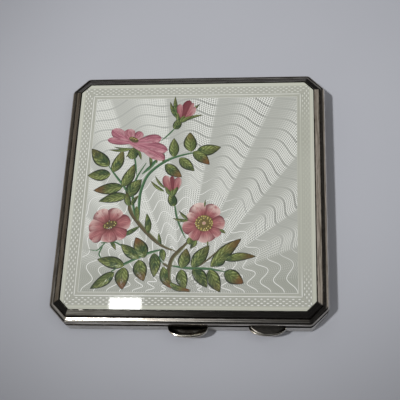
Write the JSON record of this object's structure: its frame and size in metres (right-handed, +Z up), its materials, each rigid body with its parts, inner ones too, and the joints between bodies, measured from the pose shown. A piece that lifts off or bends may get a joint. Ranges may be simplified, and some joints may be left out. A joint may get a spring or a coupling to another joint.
{
  "type": "pill box",
  "caption": "Square hinged pill box with canted corners, enamelled lid in a stepped silver border, mirror, inner lid over a divided well.",
  "frame": {"origin": "middle of the resting face, on the surface that the case stands on", "axes": "+Z up, -Y the front with the thumbpieces, +X to the right as seen from the front"},
  "size_m": [0.076, 0.079, 0.0105],
  "materials": {
    "silver": "polished silver",
    "gilt": "satin gilt",
    "pin_steel": "drawn wire",
    "enamel": "translucent white enamel, polished",
    "mirror_glass": "silvered glass",
    "card": "plain card"
  },
  "bodies": {
    "base": {"base_frame": "silver", "back_plate": "silver", "base_rim": "gilt", "well_pan": "gilt", "well_divider": "gilt", "base_knuckles": "silver", "hinge_pin": "pin_steel", "hinge_end_caps": "silver", "inner_base_knuckles": "gilt", "inner_hinge_pin": "pin_steel", "catch_spring": "gilt"},
    "lid": {"lid_frame": "silver", "guilloche_plate": "silver", "enamel_layer": "enamel", "lid_liner": "gilt", "mirror_backing": "card", "mirror": "mirror_glass", "mirror_frame": "gilt", "lid_thumbpiece": "silver", "lid_knuckles": "silver", "lid_catch_nib": "gilt"},
    "inner_lid": {"inner_lid_plate": "gilt", "inner_lid_bezel": "gilt", "inner_lid_thumbpiece": "silver", "inner_lid_knuckles": "gilt"}
  },
  "joints": [
    {"name": "lid_hinge", "type": "hinge", "parent": "base", "child": "lid", "pos_m": [0, 0.0371, 0.00585], "axis": [-1, 0, 0], "range_deg": [0, 100]},
    {"name": "inner_lid_hinge", "type": "hinge", "parent": "base", "child": "inner_lid", "pos_m": [0, 0.035, 0.0063], "axis": [-1, 0, 0], "range_deg": [0, 60]}
  ],
  "couplings": [
    {"joint": "inner_lid_hinge", "follows": "lid_hinge", "ratio": 0.6}
  ]
}
